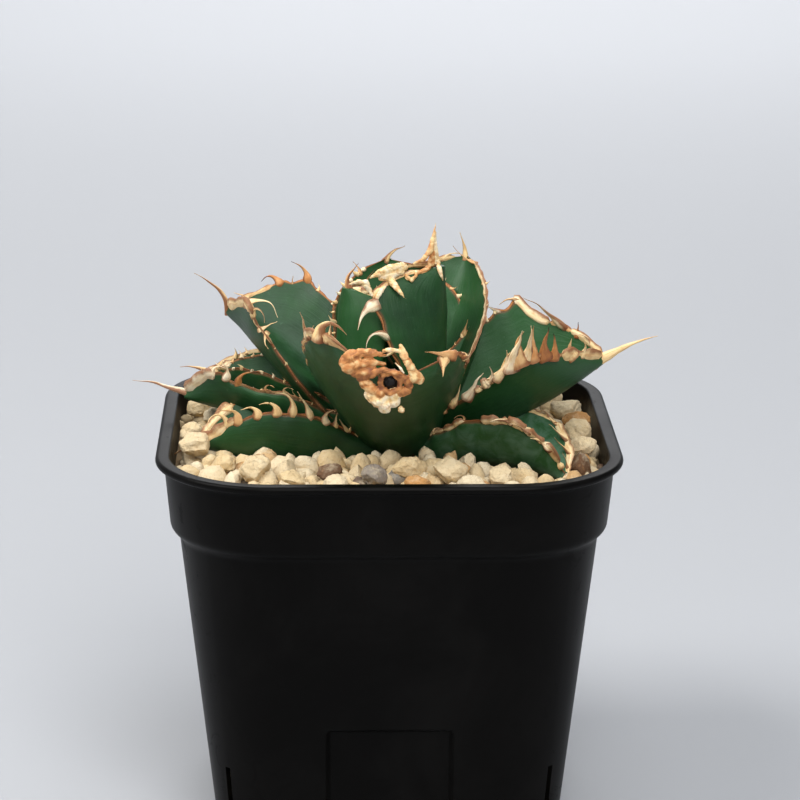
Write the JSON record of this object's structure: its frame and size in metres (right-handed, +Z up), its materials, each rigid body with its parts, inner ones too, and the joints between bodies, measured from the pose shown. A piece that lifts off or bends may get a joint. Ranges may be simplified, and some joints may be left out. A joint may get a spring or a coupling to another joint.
{
  "type": "potted agave",
  "caption": "Young titan agave rosette with thick channelled leaves and horny hooked teeth, in a square black slit pot dressed with pumice gravel.",
  "frame": {"origin": "middle of the pot's flat underside", "axes": "+Z up, front of the pot towards -Y, +X to the right of someone who looks at the front"},
  "size_m": [0.1163, 0.105, 0.1377],
  "materials": {
    "black_plastic": "satin moulded polypropylene",
    "potting_mix": "damp bark and grit",
    "pumice": "rough, matt",
    "stem_skin": "dry leaf scars",
    "leaf_green": "waxy satin",
    "leaf_horn": "dry horn, satin"
  },
  "bodies": {
    "root": {"pot": "black_plastic", "potting_mix": "potting_mix", "pumice_bed": "pumice", "stem": "stem_skin", "leaf_bud": "leaf_green", "leaf_heart_right": "leaf_green", "leaf_heart_left": "leaf_green", "leaf_back_right": "leaf_green", "leaf_back_left": "leaf_green", "leaf_front": "leaf_green", "leaf_upper_left": "leaf_green", "leaf_rear_upper": "leaf_green", "leaf_right": "leaf_green", "leaf_rear_right": "leaf_green", "leaf_left": "leaf_green", "leaf_front_right": "leaf_green", "leaf_front_left": "leaf_green", "leaf_left_rear": "leaf_green", "leaf_rear_low": "leaf_green", "pumice_stone_01": "pumice", "pumice_stone_02": "pumice", "pumice_stone_03": "pumice", "pumice_stone_04": "pumice", "pumice_stone_05": "pumice", "pumice_stone_06": "pumice", "pumice_stone_07": "pumice", "pumice_stone_08": "pumice", "pumice_stone_09": "pumice", "pumice_stone_10": "pumice", "pumice_stone_11": "pumice", "pumice_stone_12": "pumice", "pumice_stone_13": "pumice", "pumice_stone_14": "pumice", "pumice_stone_15": "pumice", "pumice_stone_16": "pumice", "pumice_stone_17": "pumice", "pumice_stone_18": "pumice", "pumice_stone_19": "pumice", "pumice_stone_20": "pumice", "pumice_stone_21": "pumice", "pumice_stone_22": "pumice", "pumice_stone_23": "pumice", "pumice_stone_24": "pumice"}
  },
  "joints": []
}
